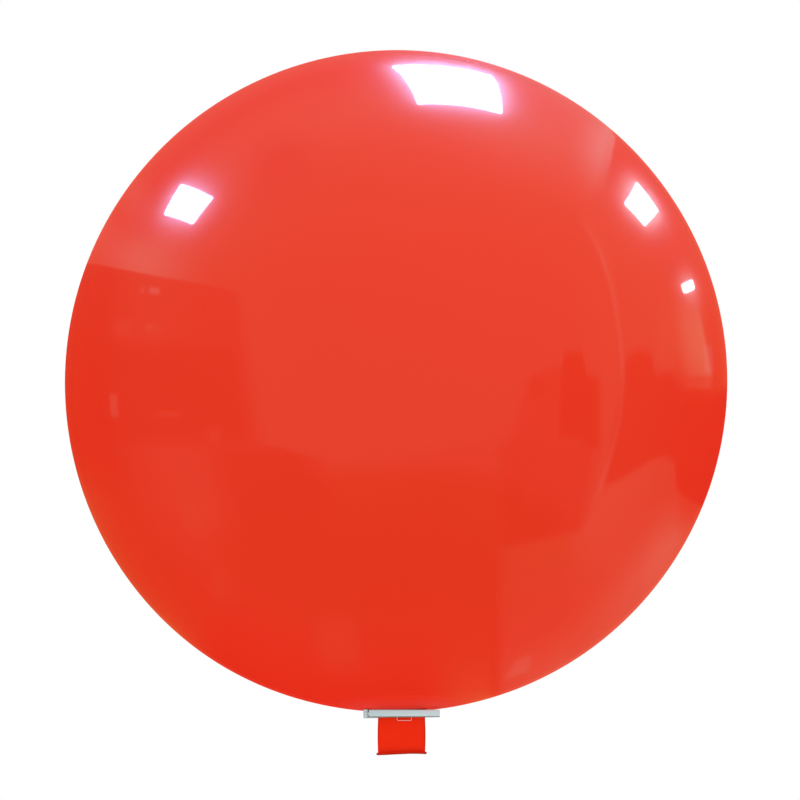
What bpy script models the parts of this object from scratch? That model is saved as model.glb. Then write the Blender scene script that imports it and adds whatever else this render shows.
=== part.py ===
"""Giant latex balloon, blown up, with the hinged clip that closes its neck.

Metres, +Z up. The origin is the centre of the ball, which hangs in the air, and the front faces -Y.
The clip's own sizes are measured from its middle, which is a little to the right of the ball's axis.
"""

import math

import bmesh
import bpy
from mathutils import Matrix, Vector

MM = 0.001
GAP = 0.3 * MM

# Ball
CIRCUMFERENCE = 3500 * MM
BALL_RADIUS = CIRCUMFERENCE / (2 * math.pi)
WALL = 10 * MM
POLE_FLATTENING = 2.5 * MM
FLATTENED_ANGLE = math.radians(40)
OUTER_SEGMENTS = 56
INNER_SEGMENTS = 44

# Neck: the flattened tail of the latex, two layers pressed together
NECK_X = 9.8 * MM
NECK_WIDTH = 78.4 * MM
NECK_THICKNESS = 2.4 * MM
MOUTH_BOTTOM = -628.5 * MM
BEAD_DIAMETER = 4.2 * MM
BEAD_WIDTH = 81.2 * MM
BEAD_SPREAD = 2.4 * MM

# Clip: two jaws on one upright pin
CLIP_LENGTH = 126 * MM
CLIP_HEIGHT = 11.1 * MM
CLIP_BELOW_BALL = 2.2 * MM
FRONT_DEPTH_AT_HINGE = 7.0 * MM
FRONT_DEPTH_AT_TIP = 5.0 * MM
REAR_DEPTH_AT_HINGE = 6.0 * MM
REAR_DEPTH_AT_TIP = 3.2 * MM
REAR_DROP = 0.6 * MM
JAW_ROUNDING = 1.2 * MM
BEVEL_HEIGHT = 1.4 * MM
BEVEL_DEPTH = 1.8 * MM
NIP_DEPTH = 1.2 * MM
NIP_HEIGHT = 6.8 * MM
NIP_STEPS = 12

# Hinge and catch
BARREL_RADIUS = 4.2 * MM
BARREL_TO_BAR = 1.0 * MM
WEB_SETBACK = 1.6 * MM
WEB_DEPTH = 3.0 * MM
PIN_RADIUS = 1.0 * MM
PIN_HOLE_RADIUS = 1.25 * MM
CATCH_LENGTH = 4.6 * MM
CATCH_GAP = 0.4 * MM
CATCH_BACK = 4.7 * MM

# Loop for the string, a flat strip bent to a U
LOOP_X = 4.5 * MM
LOOP_Y = -4.4 * MM
LOOP_WIDTH = 24.3 * MM
LOOP_DROP = 5.8 * MM
LOOP_STRIP = 1.2 * MM
LOOP_DEPTH = 1.6 * MM
LOOP_CORNER = 2.6 * MM
LOOP_SOCKET = 2.6 * MM

# Worked out from the sizes above
BALL_BOTTOM = -(BALL_RADIUS - POLE_FLATTENING)
CLIP_TOP = BALL_BOTTOM - CLIP_BELOW_BALL
CLIP_BOTTOM = CLIP_TOP - CLIP_HEIGHT
REAR_BOTTOM = CLIP_BOTTOM - REAR_DROP
CLIP_LEFT = -CLIP_LENGTH / 2
CLIP_RIGHT = CLIP_LENGTH / 2
NIP_MIDDLE = CLIP_TOP - CLIP_HEIGHT / 2
INNER_FACE = NECK_THICKNESS / 2 + GAP
PIN_X = CLIP_LEFT + BARREL_RADIUS
PIN_Y = -(INNER_FACE + FRONT_DEPTH_AT_HINGE) + BARREL_RADIUS
BAR_LEFT = PIN_X + BARREL_RADIUS + BARREL_TO_BAR
CATCH_LEFT = CLIP_RIGHT - CATCH_LENGTH
KNUCKLE_HEIGHT = (CLIP_HEIGHT - 2 * GAP) / 3
OVERLAP = 1.0 * MM

LATEX = ("latex_red", (0.81, 0.04, 0.018, 1.0), 0.16, 0.0)
PLASTIC = ("clip_plastic", (0.62, 0.70, 0.70, 1.0), 0.42, 0.0)
LOOP_PLASTIC = ("loop_plastic", (0.78, 0.80, 0.78, 1.0), 0.38, 0.0)
PIN_METAL = ("pin_steel", (0.55, 0.56, 0.58, 1.0), 0.30, 1.0)


def clear_scene():
    for old in list(bpy.data.objects):
        bpy.data.objects.remove(old, do_unlink=True)


def new_collection(name, helpers):
    collection = bpy.data.collections.new(name)
    bpy.context.scene.collection.children.link(collection)
    collection.hide_render = helpers
    return collection


def new_material(name, colour, roughness, metallic):
    material = bpy.data.materials.new(name)
    material.use_nodes = True
    shader = material.node_tree.nodes["Principled BSDF"]
    shader.inputs["Base Color"].default_value = colour
    shader.inputs["Roughness"].default_value = roughness
    shader.inputs["Metallic"].default_value = metallic
    return material


def add_object(name, bm, collection, material=None, location=(0, 0, 0)):
    """Store the bmesh as an object, with its normals facing out and its round faces smooth."""
    bmesh.ops.recalc_face_normals(bm, faces=bm.faces)
    mesh = bpy.data.meshes.new(name)
    bm.to_mesh(mesh)
    bm.free()
    mesh.shade_smooth()
    mesh.set_sharp_from_angle(angle=math.radians(35))
    obj = bpy.data.objects.new(name, mesh)
    obj.location = location
    collection.objects.link(obj)
    if material:
        mesh.materials.append(material)
    else:
        obj.hide_render = True
        obj.display_type = "WIRE"
    return obj


def apply_boolean(obj, other, operation):
    modifier = obj.modifiers.new(f"{operation.lower()}_{other.name}", "BOOLEAN")
    modifier.operation = operation
    modifier.object = other
    modifier.solver = "EXACT"


def box(low, high):
    """A box between two corners."""
    bm = bmesh.new()
    size = Vector(high) - Vector(low)
    middle = (Vector(high) + Vector(low)) / 2
    placed = Matrix.Translation(middle) @ Matrix.Diagonal(size.to_4d())
    bmesh.ops.create_cube(bm, size=1.0, matrix=placed)
    return bm


def upright_cylinder(x, y, z_low, z_high, radius, segments=32):
    bm = bmesh.new()
    middle = Matrix.Translation((x, y, (z_low + z_high) / 2))
    bmesh.ops.create_cone(
        bm,
        cap_ends=True,
        segments=segments,
        radius1=radius,
        radius2=radius,
        depth=z_high - z_low,
        matrix=middle,
    )
    return bm


def prism(outline, z_low, z_high):
    """A flat outline in X and Y, raised from one height to another."""
    bm = bmesh.new()
    base = bm.faces.new([bm.verts.new((x, y, z_low)) for x, y in outline])
    raised = bmesh.ops.extrude_face_region(bm, geom=[base])["geom"]
    moved = [item for item in raised if isinstance(item, bmesh.types.BMVert)]
    bmesh.ops.translate(bm, verts=moved, vec=(0, 0, z_high - z_low))
    return bm


def loft(left, right, x_left, x_right):
    """A bar between two outlines in Y and Z, which have the same number of points."""
    bm = bmesh.new()
    first = [bm.verts.new((x_left, y, z)) for y, z in left]
    last = [bm.verts.new((x_right, y, z)) for y, z in right]
    for i in range(len(first)):
        j = (i + 1) % len(first)
        bm.faces.new((first[i], first[j], last[j], last[i]))
    bm.faces.new(first)
    bm.faces.new(last)
    return bm


def arc(centre, radius, start_deg, end_deg, steps):
    """Points on an arc, with both its ends."""
    points = []
    for i in range(steps + 1):
        angle = math.radians(start_deg + (end_deg - start_deg) * i / steps)
        points.append((centre[0] + radius * math.cos(angle), centre[1] + radius * math.sin(angle)))
    return points


def flattened_radius(radius, from_bottom):
    """The ball's radius at an angle from its bottom pole, where the neck holds it in a little."""
    if from_bottom >= FLATTENED_ANGLE:
        return radius
    fade = math.cos(math.pi / 2 * from_bottom / FLATTENED_ANGLE) ** 2
    return radius - POLE_FLATTENING * fade


def ball(radius, segments):
    bm = bmesh.new()
    bmesh.ops.create_uvsphere(bm, u_segments=segments, v_segments=segments // 2, radius=radius)
    for vertex in bm.verts:
        from_bottom = vertex.co.angle(Vector((0, 0, -1)))
        vertex.co *= flattened_radius(radius, from_bottom) / radius
    return bm


def make_envelope(parts, helpers, latex):
    """The ball: a shell with a slot at its bottom, through which its neck leaves."""
    envelope = add_object("envelope", ball(BALL_RADIUS, OUTER_SEGMENTS), parts, latex)
    inside = add_object("cut_gas_space", ball(BALL_RADIUS - WALL, INNER_SEGMENTS), helpers)
    half_width = NECK_WIDTH / 2 + GAP
    low = (NECK_X - half_width, -INNER_FACE, BALL_BOTTOM - WALL)
    high = (NECK_X + half_width, INNER_FACE, BALL_BOTTOM + 2 * WALL)
    slot = add_object("cut_neck_slot", box(low, high), helpers)
    apply_boolean(envelope, inside, "DIFFERENCE")
    apply_boolean(envelope, slot, "DIFFERENCE")


def nip_offset(z):
    """How far back the neck is pressed at a height inside the clip, by the front jaw's ridge."""
    along = (z - NIP_MIDDLE) / NIP_HEIGHT
    if abs(along) >= 0.5:
        return 0.0
    return NIP_DEPTH * math.cos(math.pi * along) ** 2


def nip_heights():
    """Heights through the bend, from top to bottom."""
    top = NIP_MIDDLE + NIP_HEIGHT / 2
    return [top - NIP_HEIGHT * i / NIP_STEPS for i in range(NIP_STEPS + 1)]


def make_neck(parts, latex):
    top = BALL_BOTTOM + WALL - OVERLAP
    bottom = MOUTH_BOTTOM + BEAD_DIAMETER + GAP
    heights = [top] + nip_heights() + [bottom]
    front = [(nip_offset(z) - NECK_THICKNESS / 2, z) for z in heights]
    rear = [(nip_offset(z) + NECK_THICKNESS / 2, z) for z in reversed(heights)]
    sheet = loft(front + rear, front + rear, -NECK_WIDTH / 2, NECK_WIDTH / 2)
    add_object("neck", sheet, parts, latex, location=(NECK_X, 0, 0))


def make_mouth_bead(parts, latex):
    """The rolled rim of the mouth, pressed flat: a ring with two long sides and round ends."""
    half_run = (BEAD_WIDTH - BEAD_DIAMETER) / 2 - BEAD_SPREAD
    right_end = arc((half_run, 0), BEAD_SPREAD, -90, 90, 8)
    left_end = arc((-half_run, 0), BEAD_SPREAD, 90, 270, 8)
    data = bpy.data.curves.new("mouth_bead", "CURVE")
    data.dimensions = "3D"
    data.bevel_depth = BEAD_DIAMETER / 2
    data.bevel_resolution = 3
    path = right_end + left_end
    spline = data.splines.new("POLY")
    spline.points.add(len(path) - 1)
    spline.use_cyclic_u = True
    for point, (x, y) in zip(spline.points, path):
        point.co = (x, y, 0, 1)
    data.materials.append(latex)
    bead = bpy.data.objects.new("mouth_bead", data)
    bead.location = (NECK_X, 0, MOUTH_BOTTOM + BEAD_DIAMETER / 2)
    parts.objects.link(bead)


def jaw_section(side, depth, bottom):
    """A jaw's outline in Y and Z: a rounded back, and a face that follows the neck's bend."""
    outer = side * (INNER_FACE + depth)
    corner = outer - side * JAW_ROUNDING
    top_arc = arc((0, CLIP_TOP - JAW_ROUNDING), JAW_ROUNDING, 90, 0, 4)
    bottom_arc = arc((0, bottom + JAW_ROUNDING), JAW_ROUNDING, 0, -90, 4)
    back = [(corner + side * y, z) for y, z in top_arc + bottom_arc]
    face = [(side * INNER_FACE + nip_offset(z), z) for z in reversed(nip_heights())]
    return back + [(side * INNER_FACE, bottom)] + face + [(side * INNER_FACE, CLIP_TOP)]


def depth_at(x, at_hinge, at_tip):
    """A jaw's depth at a place along the clip, from its deep hinge end to its slim tip."""
    along = (x - CLIP_LEFT) / CLIP_LENGTH
    return at_hinge + (at_tip - at_hinge) * along


def hinge_end_outline():
    """The rear jaw's hinge end from above: a round nose on the pin, and a square back."""
    back = INNER_FACE + REAR_DEPTH_AT_HINGE
    nose = arc((PIN_X, PIN_Y), BARREL_RADIUS, -180, 0, 16)
    right = PIN_X + BARREL_RADIUS
    corner = (CLIP_LEFT + JAW_ROUNDING, back - JAW_ROUNDING)
    return nose + [(right, back - OVERLAP / 2)] + arc(corner, JAW_ROUNDING, 90, 180, 4)


def hinge_back_outline():
    """The stretch between the two rear knuckles, clear of the front jaw's knuckle."""
    back = INNER_FACE + REAR_DEPTH_AT_HINGE
    front = PIN_Y + BARREL_RADIUS + GAP
    inset = OVERLAP / 4
    low_x = CLIP_LEFT + inset
    high_x = PIN_X + BARREL_RADIUS - inset
    high_y = back - OVERLAP
    return [(low_x, front), (high_x, front), (high_x, high_y), (low_x, high_y)]


def make_rear_jaw(parts, helpers, plastic):
    left = CLIP_LEFT + BARREL_RADIUS
    right = CATCH_LEFT - CATCH_GAP
    at_left = depth_at(left, REAR_DEPTH_AT_HINGE, REAR_DEPTH_AT_TIP)
    at_right = depth_at(right, REAR_DEPTH_AT_HINGE, REAR_DEPTH_AT_TIP)
    sections = [jaw_section(1, depth, REAR_BOTTOM) for depth in (at_left, at_right)]
    bar = loft(sections[0], sections[1], left, right)
    jaw = add_object("clip_rear_jaw", bar, parts, plastic, location=(NECK_X, 0, 0))
    knuckles = (
        ("join_top_knuckle", hinge_end_outline(), CLIP_TOP - KNUCKLE_HEIGHT, CLIP_TOP),
        ("join_bottom_knuckle", hinge_end_outline(), REAR_BOTTOM, CLIP_BOTTOM + KNUCKLE_HEIGHT),
        ("join_hinge_back", hinge_back_outline(), CLIP_BOTTOM + OVERLAP, CLIP_TOP - OVERLAP),
    )
    for name, outline, low, high in knuckles:
        joined = add_object(name, prism(outline, low, high), helpers, location=(NECK_X, 0, 0))
        apply_boolean(jaw, joined, "UNION")
    return jaw


def make_front_jaw(parts, helpers, plastic):
    """The jaw that opens. Its mesh is placed round the pin, which is its object's origin."""
    right = CLIP_RIGHT - OVERLAP
    at_left = depth_at(BAR_LEFT, FRONT_DEPTH_AT_HINGE, FRONT_DEPTH_AT_TIP)
    at_right = depth_at(right, FRONT_DEPTH_AT_HINGE, FRONT_DEPTH_AT_TIP)
    sections = [jaw_section(-1, depth, CLIP_BOTTOM) for depth in (at_left, at_right)]
    bar = loft(sections[0], sections[1], BAR_LEFT, right)
    bmesh.ops.translate(bar, verts=bar.verts, vec=(-PIN_X, -PIN_Y, 0))
    place = (NECK_X + PIN_X, PIN_Y, 0)
    jaw = add_object("clip_front_jaw", bar, parts, plastic, location=place)
    low = CLIP_BOTTOM + KNUCKLE_HEIGHT + GAP
    high = CLIP_TOP - KNUCKLE_HEIGHT - GAP
    barrel = upright_cylinder(0, 0, low, high, BARREL_RADIUS)
    web_front = -BARREL_RADIUS + WEB_SETBACK
    web = box((0, web_front, low), (BAR_LEFT - PIN_X + OVERLAP, web_front + WEB_DEPTH, high))
    joined = (
        add_object("join_middle_knuckle", barrel, helpers, location=place),
        add_object("join_web", web, helpers, location=place),
        add_object("join_catch", prism(catch_outline(), CLIP_BOTTOM, CLIP_TOP), helpers, location=place),
    )
    for other in joined:
        apply_boolean(jaw, other, "UNION")
    bevel = loft(bevel_section(at_left), bevel_section(at_right), BAR_LEFT - OVERLAP, CLIP_RIGHT + OVERLAP)
    bmesh.ops.translate(bevel, verts=bevel.verts, vec=(-PIN_X, -PIN_Y, 0))
    apply_boolean(jaw, add_object("cut_bevel", bevel, helpers, location=place), "DIFFERENCE")
    return jaw


def bevel_section(depth):
    """The wedge in Y and Z that is cut off the front jaw's lower front edge."""
    front = -(INNER_FACE + depth)
    return [
        (front - BEVEL_DEPTH, CLIP_BOTTOM + 2 * BEVEL_HEIGHT),
        (front + 2 * BEVEL_DEPTH, CLIP_BOTTOM - BEVEL_HEIGHT),
        (front - BEVEL_DEPTH, CLIP_BOTTOM - BEVEL_HEIGHT),
    ]


def catch_outline():
    """The catch at the tip from above: it laps round the end of the rear jaw."""
    front = -(INNER_FACE + FRONT_DEPTH_AT_TIP)
    left = CATCH_LEFT
    right = CLIP_RIGHT
    rounding = JAW_ROUNDING
    outline = [(left, front + OVERLAP / 4)]
    outline += arc((right - rounding, front + rounding), rounding, -90, 0, 4)
    outline += arc((right - rounding, CATCH_BACK - rounding), rounding, 0, 90, 4)
    outline += [(left, CATCH_BACK)]
    return [(x - PIN_X, y - PIN_Y) for x, y in outline]


def cut_pin_holes(helpers, jaws):
    hole = upright_cylinder(0, 0, CLIP_BOTTOM - OVERLAP, CLIP_TOP + OVERLAP, PIN_HOLE_RADIUS)
    cutter = add_object("cut_pin_hole", hole, helpers, location=(NECK_X + PIN_X, PIN_Y, 0))
    for jaw in jaws:
        apply_boolean(jaw, cutter, "DIFFERENCE")


def make_hinge_pin(parts, metal):
    pin = upright_cylinder(0, 0, CLIP_BOTTOM + GAP, CLIP_TOP - GAP, PIN_RADIUS, segments=20)
    add_object("hinge_pin", pin, parts, metal, location=(NECK_X + PIN_X, PIN_Y, 0))


def loop_outline():
    """The loop's strip in X and Z, measured from the middle of the jaw's underside."""
    half = LOOP_WIDTH / 2
    inner = half - LOOP_STRIP
    top = LOOP_SOCKET - GAP
    inner_corner = LOOP_CORNER - LOOP_STRIP
    middle = half - LOOP_CORNER
    corner_z = -LOOP_DROP + LOOP_CORNER
    outline = [(-half, top)] + arc((-middle, corner_z), LOOP_CORNER, 180, 270, 5)
    outline += arc((middle, corner_z), LOOP_CORNER, -90, 0, 5) + [(half, top), (inner, top)]
    outline += arc((middle, corner_z), inner_corner, 0, -90, 4)
    outline += arc((-middle, corner_z), inner_corner, 270, 180, 4) + [(-inner, top)]
    return outline


def make_tie_loop(parts, helpers, front_jaw, plastic):
    """The string's loop. Its legs sit in two sockets in the front jaw's underside."""
    strip = prism(loop_outline(), -LOOP_DEPTH / 2, LOOP_DEPTH / 2)
    upright = Matrix.Rotation(math.radians(90), 4, "X")
    bmesh.ops.transform(strip, matrix=upright, verts=strip.verts)
    place = (NECK_X + LOOP_X, LOOP_Y, CLIP_BOTTOM)
    add_object("tie_loop", strip, parts, plastic, location=place)
    leg = LOOP_WIDTH / 2 - LOOP_STRIP / 2
    half_x = LOOP_STRIP / 2 + GAP
    half_y = LOOP_DEPTH / 2 + GAP
    for name, x in (("cut_left_socket", -leg), ("cut_right_socket", leg)):
        socket = box((x - half_x, -half_y, -OVERLAP), (x + half_x, half_y, LOOP_SOCKET))
        apply_boolean(front_jaw, add_object(name, socket, helpers, location=place), "DIFFERENCE")


def build():
    clear_scene()
    parts = new_collection("giant_latex_balloon", helpers=False)
    helpers = new_collection("cutters", helpers=True)
    latex = new_material(*LATEX)
    plastic = new_material(*PLASTIC)
    make_envelope(parts, helpers, latex)
    make_neck(parts, latex)
    make_mouth_bead(parts, latex)
    rear_jaw = make_rear_jaw(parts, helpers, plastic)
    front_jaw = make_front_jaw(parts, helpers, plastic)
    cut_pin_holes(helpers, (rear_jaw, front_jaw))
    make_hinge_pin(parts, new_material(*PIN_METAL))
    make_tie_loop(parts, helpers, front_jaw, new_material(*LOOP_PLASTIC))


build()
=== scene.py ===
import math

import bmesh
import bpy
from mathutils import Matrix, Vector, noise


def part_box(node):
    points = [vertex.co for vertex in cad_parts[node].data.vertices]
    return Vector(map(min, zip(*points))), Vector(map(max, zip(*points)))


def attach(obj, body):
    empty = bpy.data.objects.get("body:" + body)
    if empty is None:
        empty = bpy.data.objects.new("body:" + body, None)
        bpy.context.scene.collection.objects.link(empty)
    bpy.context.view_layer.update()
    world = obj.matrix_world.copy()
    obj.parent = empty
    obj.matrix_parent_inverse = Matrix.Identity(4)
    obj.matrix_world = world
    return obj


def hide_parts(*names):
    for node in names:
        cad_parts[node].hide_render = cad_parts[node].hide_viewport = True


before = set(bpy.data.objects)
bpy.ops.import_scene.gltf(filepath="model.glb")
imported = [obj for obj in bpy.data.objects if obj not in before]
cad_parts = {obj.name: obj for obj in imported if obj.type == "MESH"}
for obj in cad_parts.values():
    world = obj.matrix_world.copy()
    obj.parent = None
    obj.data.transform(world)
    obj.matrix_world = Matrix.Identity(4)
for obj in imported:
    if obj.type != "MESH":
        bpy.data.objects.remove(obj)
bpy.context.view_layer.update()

MM = 0.001

# The photograph's frame, in its own 800 by 800 pixels
PHOTO_SIZE = 800
BALL_CENTRE_PIXEL = (395.74, 381.88)
BALL_RADIUS_PIXELS = 331.1

# Camera: it stands low in front of the balloon and looks up at it
CAMERA_AWAY = 4.5
CAMERA_BELOW_CENTRE = 1.026
SENSOR_MM = 36
FLOOR_BELOW_CAMERA = 0.06
FLOOR_RADIUS = 14
FLOOR_FADE = (3.0, 12.5)

# Sizes read from the frame
ball_low, ball_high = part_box("envelope")
neck_low, neck_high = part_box("neck")
bead_low, bead_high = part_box("mouth_bead")
jaw_low, jaw_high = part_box("clip_front_jaw")
BALL_RADIUS = ball_high.z
HELD_IN = ball_high.z + ball_low.z
BALL_BOTTOM = ball_low.z
NECK_X = (neck_low.x + neck_high.x) / 2
CLIP_TOP = jaw_high.z
CLIP_BOTTOM = jaw_low.z
CLIP_HEIGHT = CLIP_TOP - CLIP_BOTTOM
NIP_MIDDLE = (CLIP_TOP + CLIP_BOTTOM) / 2
NIP_DEPTH = neck_high.y + neck_low.y

# Ball
HELD_IN_ANGLE = math.radians(40)
DIMPLE = 0.5 * MM
DIMPLE_REACH = 45 * MM
# How the outline departs from a circle: waves round it, with their cosine and sine parts in millimetres
OUTLINE_WAVES = (
    (0, 0.83, 0.00),
    (1, 0.08, -0.50),
    (2, -0.46, 1.29),
    (3, 0.62, -0.11),
    (4, -0.11, -0.22),
    (5, 0.07, 0.11),
)
AROUND = 288
BALL_RINGS = 118
CIRCLE_ENDS = math.radians(14)
GATHER_RINGS = 34
THROAT_RINGS = 8
THROAT_REACH = 5.0 * MM

# Sleeve below the ball, and its rolled rim
SLEEVE_HALF_WIDTH = 38.8 * MM
SLEEVE_BULGE = 0.7 * MM
SLEEVE_HALF_THICKNESS = 1.1 * MM
FOLD_SWELL = 0.22 * MM
FOLD_REACH = 2.4 * MM
SLEEVE_RINGS = 72
NIP_HEIGHT = 6.8 * MM
BEAD_RADIUS = (bead_high.z - bead_low.z) / 2
BEAD_HALF_RUN = (bead_high.x - bead_low.x) / 2 - BEAD_RADIUS + 1.0 * MM
BEAD_HALF_SPREAD = bead_high.y - BEAD_RADIUS
BEAD_STEPS = 20
LIP_RISE = 4 * MM
BEAD_MIDDLE = bead_low.z + BEAD_RADIUS
RIM_SHADE_TOP = BEAD_MIDDLE + 12.6 * MM
NECK_FADE = 70 * MM
CROWN_FADE = 60 * MM

# Clip and its loop
CLIP_LIFT = 1.2 * MM
UNDERCUT_TOP = CLIP_BOTTOM + 1.5 * MM
UNDERCUT_DROP = 0.4 * MM
TIP_LIFT = 0.8 * MM
HINGE_DROP = 0.75
TIP_RISE = 0.18
FRONT_DROP = 0.25
HINGE_GAP_X = -46.2 * MM
HINGE_GAP_REACH = 1.3 * MM
CLIP_FILL = 23
loop_low, loop_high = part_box("tie_loop")
LOOP_HALF_WIDTH = 0.45 * MM
LOOP_CORNER = 2.1 * MM
LOOP_SIDES = 12


def smooth(value):
    """0 below 0, 1 above 1, and a smooth step between."""
    value = min(max(value, 0.0), 1.0)
    return value * value * (3 - 2 * value)


def mix(a, b, share):
    return a + (b - a) * share


def make_camera():
    data = bpy.data.cameras.new("photo_camera")
    camera = bpy.data.objects.new("photo_camera", data)
    bpy.context.scene.collection.objects.link(camera)
    bpy.context.scene.camera = camera
    place = Vector((0, -CAMERA_AWAY, -CAMERA_BELOW_CENTRE))
    distance = place.length
    spread = BALL_RADIUS / math.sqrt(distance ** 2 - BALL_RADIUS ** 2)
    focal_pixels = BALL_RADIUS_PIXELS / spread
    data.sensor_width = SENSOR_MM
    data.lens = focal_pixels * SENSOR_MM / PHOTO_SIZE
    data.clip_start = 0.05
    data.clip_end = 100
    turned = (-place).to_track_quat("-Z", "Y")
    right = turned @ Vector((1, 0, 0))
    up = turned @ Vector((0, 1, 0))
    aside = (BALL_CENTRE_PIXEL[0] - PHOTO_SIZE / 2) / focal_pixels * distance
    above = (PHOTO_SIZE / 2 - BALL_CENTRE_PIXEL[1]) / focal_pixels * distance
    aim = -aside * right - above * up
    camera.location = place
    camera.rotation_euler = (aim - place).to_track_quat("-Z", "Y").to_euler()
    bpy.context.view_layer.update()
    return camera, focal_pixels


camera, focal_pixels = make_camera()


# Latex skin

def ball_radius(direction):
    """Nearly round: held in by the neck, and a little uneven round its outline."""
    from_bottom = direction.angle(Vector((0, 0, -1)))
    held_in = 0.0
    if from_bottom < HELD_IN_ANGLE:
        held_in = HELD_IN * math.cos(math.pi / 2 * from_bottom / HELD_IN_ANGLE) ** 2
        held_in += DIMPLE * math.exp(-((from_bottom * BALL_RADIUS / DIMPLE_REACH) ** 2))
    across = math.hypot(direction.x, direction.z)
    around = math.atan2(direction.z, direction.x)
    uneven = 0.0
    for count, cosine, sine in OUTLINE_WAVES:
        uneven += (cosine * math.cos(count * around) + sine * math.sin(count * around)) * MM
    return BALL_RADIUS - held_in + uneven * across ** 3


def ball_point(from_top, around):
    direction = Vector((
        math.sin(from_top) * math.cos(around),
        math.sin(from_top) * math.sin(around),
        math.cos(from_top),
    ))
    return direction * ball_radius(direction)


def ball_underside(x, y):
    """The point of the ball's underside above a place on the floor."""
    radius = BALL_RADIUS
    for _ in range(3):
        direction = Vector((x, y, -math.sqrt(radius ** 2 - x * x - y * y))).normalized()
        radius = ball_radius(direction)
    return direction * radius


def flat_ring(half_width, half_depth, around):
    """A point of a flat slot with round ends, and the way out from it."""
    x = half_width * math.cos(around)
    side = 1 if math.sin(around) >= 0 else -1
    past = abs(x) - (half_width - half_depth)
    if past <= 0:
        return Vector((x, side * half_depth)), Vector((0, side))
    y = math.sqrt(max(half_depth ** 2 - past ** 2, 0.0))
    out = Vector((math.copysign(past, x), side * y)) / half_depth
    return Vector((x, side * y)), out


def around_steps():
    """Angles round a ring. No point lies just on the fold, so that both layers have the same points."""
    return [2 * math.pi * (i + 0.5) / AROUND for i in range(AROUND)]


def ball_rings():
    rings = []
    last = math.pi - CIRCLE_ENDS
    for i in range(1, BALL_RINGS + 1):
        from_top = last * i / BALL_RINGS
        rings.append([ball_point(from_top, around) for around in around_steps()])
    return rings


def gathered_rings():
    """The ball's underside, where round rings turn into the neck's flat slot."""
    rings = []
    first = BALL_RADIUS * math.sin(CIRCLE_ENDS)
    closeness = 0.015
    for i in range(1, GATHER_RINGS + 1):
        apart = closeness ** (i / GATHER_RINGS)
        share = 1 - (apart - closeness) / (1 - closeness)
        ring = []
        for around in around_steps():
            flat, out = flat_ring(SLEEVE_HALF_WIDTH, SLEEVE_HALF_THICKNESS, around)
            wide = flat + out * THROAT_REACH + Vector((NECK_X, 0))
            circle = Vector((math.cos(around), math.sin(around))) * first
            place = circle.lerp(wide, share)
            ring.append(ball_underside(place.x, place.y))
        rings.append(ring)
    return rings


def throat_rings():
    """The skin turns down from the ball's underside into the clip."""
    rings = []
    for i in range(1, THROAT_RINGS + 1):
        turn = math.pi / 2 * i / THROAT_RINGS
        ring = []
        for around in around_steps():
            flat, out = flat_ring(SLEEVE_HALF_WIDTH, SLEEVE_HALF_THICKNESS, around)
            wide = flat + out * THROAT_REACH + Vector((NECK_X, 0))
            start = ball_underside(wide.x, wide.y).z
            drop = start - CLIP_TOP
            near = flat + out * THROAT_REACH * (1 - math.sin(turn))
            ring.append(Vector((near.x + NECK_X, near.y, start - drop * (1 - math.cos(turn)))))
        rings.append(ring)
    return rings


def nip_offset(z):
    """How far back the front jaw's ridge presses the sleeve at a height."""
    along = (z - NIP_MIDDLE) / NIP_HEIGHT
    if abs(along) >= 0.5:
        return 0.0
    return NIP_DEPTH * math.cos(math.pi * along) ** 2


def rim_wave(x):
    """The rim hangs lowest at its left end, and rises a little right of its middle."""
    along = (x - NECK_X) / BEAD_HALF_RUN
    return (0.45 + 1.9 * along - 0.95 * along ** 2 - 1.0 * along ** 3) * MM


def sleeve_drape(x, z, hang):
    """Soft unevenness of the hanging sleeve, none where the clip holds it."""
    spot = Vector((x / (26 * MM), z / (34 * MM), 3.1))
    ripple = noise.noise(spot) * 0.9 * MM
    return hang * (ripple + 0.8 * MM * math.sin(math.pi * hang))


def sleeve_rings():
    rings = []
    top = CLIP_TOP
    bottom = BEAD_MIDDLE
    for i in range(1, SLEEVE_RINGS + 1):
        level = mix(top, bottom, i / SLEEVE_RINGS)
        hang = max((CLIP_BOTTOM - level) / (CLIP_BOTTOM - bottom), 0.0)
        ring = []
        for around in around_steps():
            half_width = SLEEVE_HALF_WIDTH + SLEEVE_BULGE * math.sin(math.pi * hang)
            flat, out = flat_ring(half_width, SLEEVE_HALF_THICKNESS, around)
            to_fold = (half_width - abs(flat.x)) / FOLD_REACH
            swell = FOLD_SWELL * math.exp(-(to_fold - 0.8) ** 2) * smooth(hang * 6)
            x = flat.x + NECK_X
            y = flat.y + out.y * swell + nip_offset(level) + sleeve_drape(x, level, smooth(hang))
            ring.append(Vector((x, y, level + (rim_wave(x)) * smooth(hang))))
        rings.append(ring)
    return rings


def bead_rings():
    """The rolled rim: each point of the flat mouth is the middle of a round roll."""
    rings = []
    for step in range(BEAD_STEPS + 1):
        ring = []
        for around in around_steps():
            path, out = flat_ring(BEAD_HALF_RUN, BEAD_HALF_SPREAD, around)
            inset = abs(out.y) * (BEAD_HALF_SPREAD - SLEEVE_HALF_THICKNESS)
            inset -= abs(out.x) * (SLEEVE_HALF_WIDTH - BEAD_HALF_RUN)
            start = math.acos(max(min(-inset / BEAD_RADIUS, 1.0), -1.0))
            turn = mix(start, math.radians(-150), step / BEAD_STEPS)
            radius = BEAD_RADIUS * (1 + 0.05 * noise.noise(Vector((path.x / (9 * MM), out.y, 0))))
            x = NECK_X + path.x + out.x * radius * math.cos(turn)
            y = path.y + out.y * radius * math.cos(turn)
            y += sleeve_drape(x, BEAD_MIDDLE, 1.0)
            ring.append(Vector((x, y, BEAD_MIDDLE + rim_wave(x) + radius * math.sin(turn))))
        rings.append(ring)
    return rings


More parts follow.
